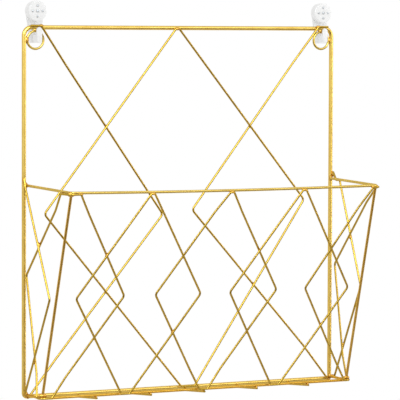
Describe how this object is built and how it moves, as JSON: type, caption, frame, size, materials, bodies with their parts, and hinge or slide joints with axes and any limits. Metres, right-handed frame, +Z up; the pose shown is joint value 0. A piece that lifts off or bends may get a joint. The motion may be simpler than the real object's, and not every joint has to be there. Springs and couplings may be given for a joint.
{
  "type": "wall magazine rack",
  "caption": "Gold wire wall magazine rack: rectangular back frame, tapered pocket of diamond lattice, and corner rings that hang on plastic nail-on hooks.",
  "frame": {"origin": "on the wall plane, at the middle of the rack's width, at the height of the hooks' centre pins", "axes": "+X to the right seen from the front, +Y into the wall, so the front faces -Y, +Z up"},
  "size_m": [0.3328, 0.1073, 0.3689],
  "materials": {
    "gold_wire": "bright gold finish on steel wire",
    "white_plastic": "gloss moulded",
    "pin_steel": "hardened pins, dull grey heads"
  },
  "bodies": {
    "wall_hooks": {"hook_left": "white_plastic", "hook_right": "white_plastic", "hook_pin_left_1": "pin_steel", "hook_pin_left_2": "pin_steel", "hook_pin_left_3": "pin_steel", "hook_pin_left_4": "pin_steel", "hook_pin_left_5": "pin_steel", "hook_pin_right_1": "pin_steel", "hook_pin_right_2": "pin_steel", "hook_pin_right_3": "pin_steel", "hook_pin_right_4": "pin_steel", "hook_pin_right_5": "pin_steel"},
    "rack": {"back_frame": "gold_wire", "back_diamond": "gold_wire", "back_half_diamond_left": "gold_wire", "back_half_diamond_right": "gold_wire", "basket_rim": "gold_wire", "basket_base_wire": "gold_wire", "corner_post_left": "gold_wire", "corner_post_right": "gold_wire", "floor_wire_1": "gold_wire", "floor_wire_2": "gold_wire", "floor_wire_3": "gold_wire", "floor_wire_4": "gold_wire", "floor_wire_5": "gold_wire", "front_diamond_left": "gold_wire", "front_diamond_centre": "gold_wire", "front_diamond_right": "gold_wire", "corner_diamond_left": "gold_wire", "corner_diamond_right": "gold_wire", "side_half_diamond_left": "gold_wire", "side_half_diamond_right": "gold_wire", "hanging_ring_left": "gold_wire", "hanging_ring_right": "gold_wire"}
  },
  "joints": [
    {"name": "rack_swing", "type": "hinge", "parent": "wall_hooks", "child": "rack", "pos_m": [0, -0.0065, -0.0213], "axis": [-1, 0, 0], "range_deg": [0, 25]}
  ]
}
